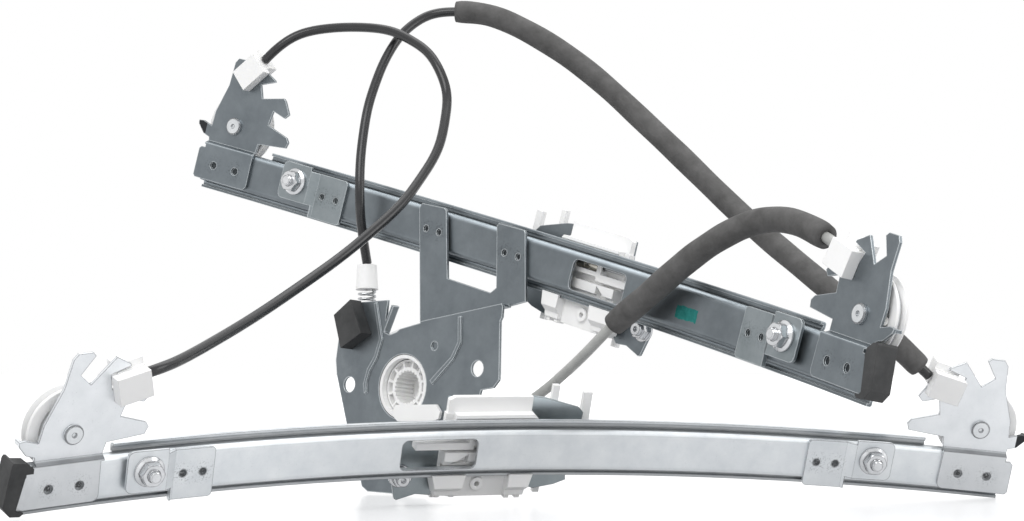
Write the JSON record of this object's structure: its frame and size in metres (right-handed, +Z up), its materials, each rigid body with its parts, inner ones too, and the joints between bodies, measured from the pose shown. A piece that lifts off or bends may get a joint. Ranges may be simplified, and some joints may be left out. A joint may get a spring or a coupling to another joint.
{
  "type": "window regulator",
  "caption": "Twin-rail cable window regulator with sliding glass carriages, corner pulleys, sheathed cables and a drive plate with cable drum.",
  "frame": {"origin": "middle of the bounding box at its underside, on the surface it lies on", "axes": "+X to the right along the front rail, +Y away from the viewer, +Z up"},
  "size_m": [0.4724, 0.3432, 0.2608],
  "materials": {
    "zinc_bright": "satin zinc plate",
    "zinc_dull": "dull zinc plate",
    "bright_steel": "bright plated",
    "white_plastic": "natural white moulding",
    "black_rubber": "moulded",
    "black_sheath": "gloss",
    "grey_sheath": "satin",
    "foam": "open foam",
    "wire_steel": "stranded",
    "brass": "die cast"
  },
  "bodies": {
    "frame": {"front_rail": "zinc_bright", "rear_rail": "zinc_dull", "front_stop_bracket": "zinc_bright", "front_free_bracket": "zinc_bright", "rear_stop_bracket": "zinc_dull", "rear_free_bracket": "zinc_dull", "front_mount_stop_side": "zinc_bright", "front_mount_free_side": "zinc_bright", "rear_mount_stop_side": "zinc_dull", "rear_mount_free_side": "zinc_dull", "front_studs": "bright_steel", "rear_studs": "bright_steel", "front_nuts": "bright_steel", "rear_nuts": "bright_steel", "front_end_stop": "black_rubber", "rear_end_stop": "black_rubber", "pulley_pins": "bright_steel", "sheath_ends_front": "white_plastic", "sheath_ends_rear": "white_plastic", "front_wire": "wire_steel", "rear_wire": "wire_steel", "sheath_a": "black_sheath", "sheath_b": "black_sheath", "sheath_c": "grey_sheath", "foam_b": "foam", "foam_c": "foam", "ferrule": "white_plastic", "tension_spring": "bright_steel", "drive_plate": "zinc_dull", "drum_housing": "white_plastic", "damper_block": "black_rubber"},
    "front_carriage": {"front_slider": "white_plastic", "front_glass_plate": "zinc_dull", "front_glass_clips": "white_plastic", "front_carriage_nut": "bright_steel", "front_nipples": "brass"},
    "rear_carriage": {"rear_slider": "white_plastic", "rear_glass_plate": "zinc_dull", "rear_glass_clips": "white_plastic", "rear_carriage_nut": "bright_steel", "rear_nipples": "brass"},
    "drum": {"drum": "white_plastic"},
    "pulley_front_stop": {"pulley_front_stop": "white_plastic"},
    "pulley_front_free": {"pulley_front_free": "white_plastic"},
    "pulley_rear_stop": {"pulley_rear_stop": "white_plastic"},
    "pulley_rear_free": {"pulley_rear_free": "white_plastic"}
  },
  "joints": [
    {"name": "front_carriage_travel", "type": "hinge", "parent": "frame", "child": "front_carriage", "pos_m": [0.28346, -0.76898, -0.29503], "axis": [-0.1409, 0.3447, -0.9281], "range_deg": [-6.2, 10.8]},
    {"name": "rear_carriage_travel", "type": "hinge", "parent": "frame", "child": "rear_carriage", "pos_m": [-0.57844, -0.56611, 0.19549], "axis": [0.2412, -0.1047, 0.9648], "range_deg": [-6.46, 11.23]},
    {"name": "pulley_front_stop_turn", "type": "hinge", "parent": "frame", "child": "pulley_front_stop", "pos_m": [-0.20683, -0.13777, 0.03893], "axis": [-0.5731, 0.736, 0.3604], "range_deg": [-555.39, 319.28]},
    {"name": "pulley_front_free_turn", "type": "hinge", "parent": "frame", "child": "pulley_front_free", "pos_m": [0.21187, 0.02791, 0.03688], "axis": [-0.0865, 0.9296, 0.3583], "range_deg": [-555.39, 319.28]},
    {"name": "pulley_rear_stop_turn", "type": "hinge", "parent": "frame", "child": "pulley_rear_stop", "pos_m": [0.13729, -0.14771, 0.08613], "axis": [0.8473, 0.5075, -0.1567], "range_deg": [-319.28, 555.39]},
    {"name": "pulley_rear_free_turn", "type": "hinge", "parent": "frame", "child": "pulley_rear_free", "pos_m": [-0.16287, 0.15954, 0.19451], "axis": [0.4918, 0.8702, -0.0285], "range_deg": [-319.28, 555.39]},
    {"name": "drum_turn", "type": "hinge", "parent": "frame", "child": "drum", "pos_m": [-0.0638, 0.07735, 0.05375], "axis": [0.658, 0.7484, -0.0833], "range_deg": [-411.85, 236.76]}
  ],
  "couplings": [
    {"joint": "rear_carriage_travel", "follows": "front_carriage_travel", "ratio": 1.0359},
    {"joint": "pulley_front_stop_turn", "follows": "front_carriage_travel", "ratio": -51.328},
    {"joint": "pulley_front_free_turn", "follows": "front_carriage_travel", "ratio": -51.328},
    {"joint": "pulley_rear_stop_turn", "follows": "front_carriage_travel", "ratio": 51.328},
    {"joint": "pulley_rear_free_turn", "follows": "front_carriage_travel", "ratio": 51.328},
    {"joint": "drum_turn", "follows": "front_carriage_travel", "ratio": -38.062}
  ]
}
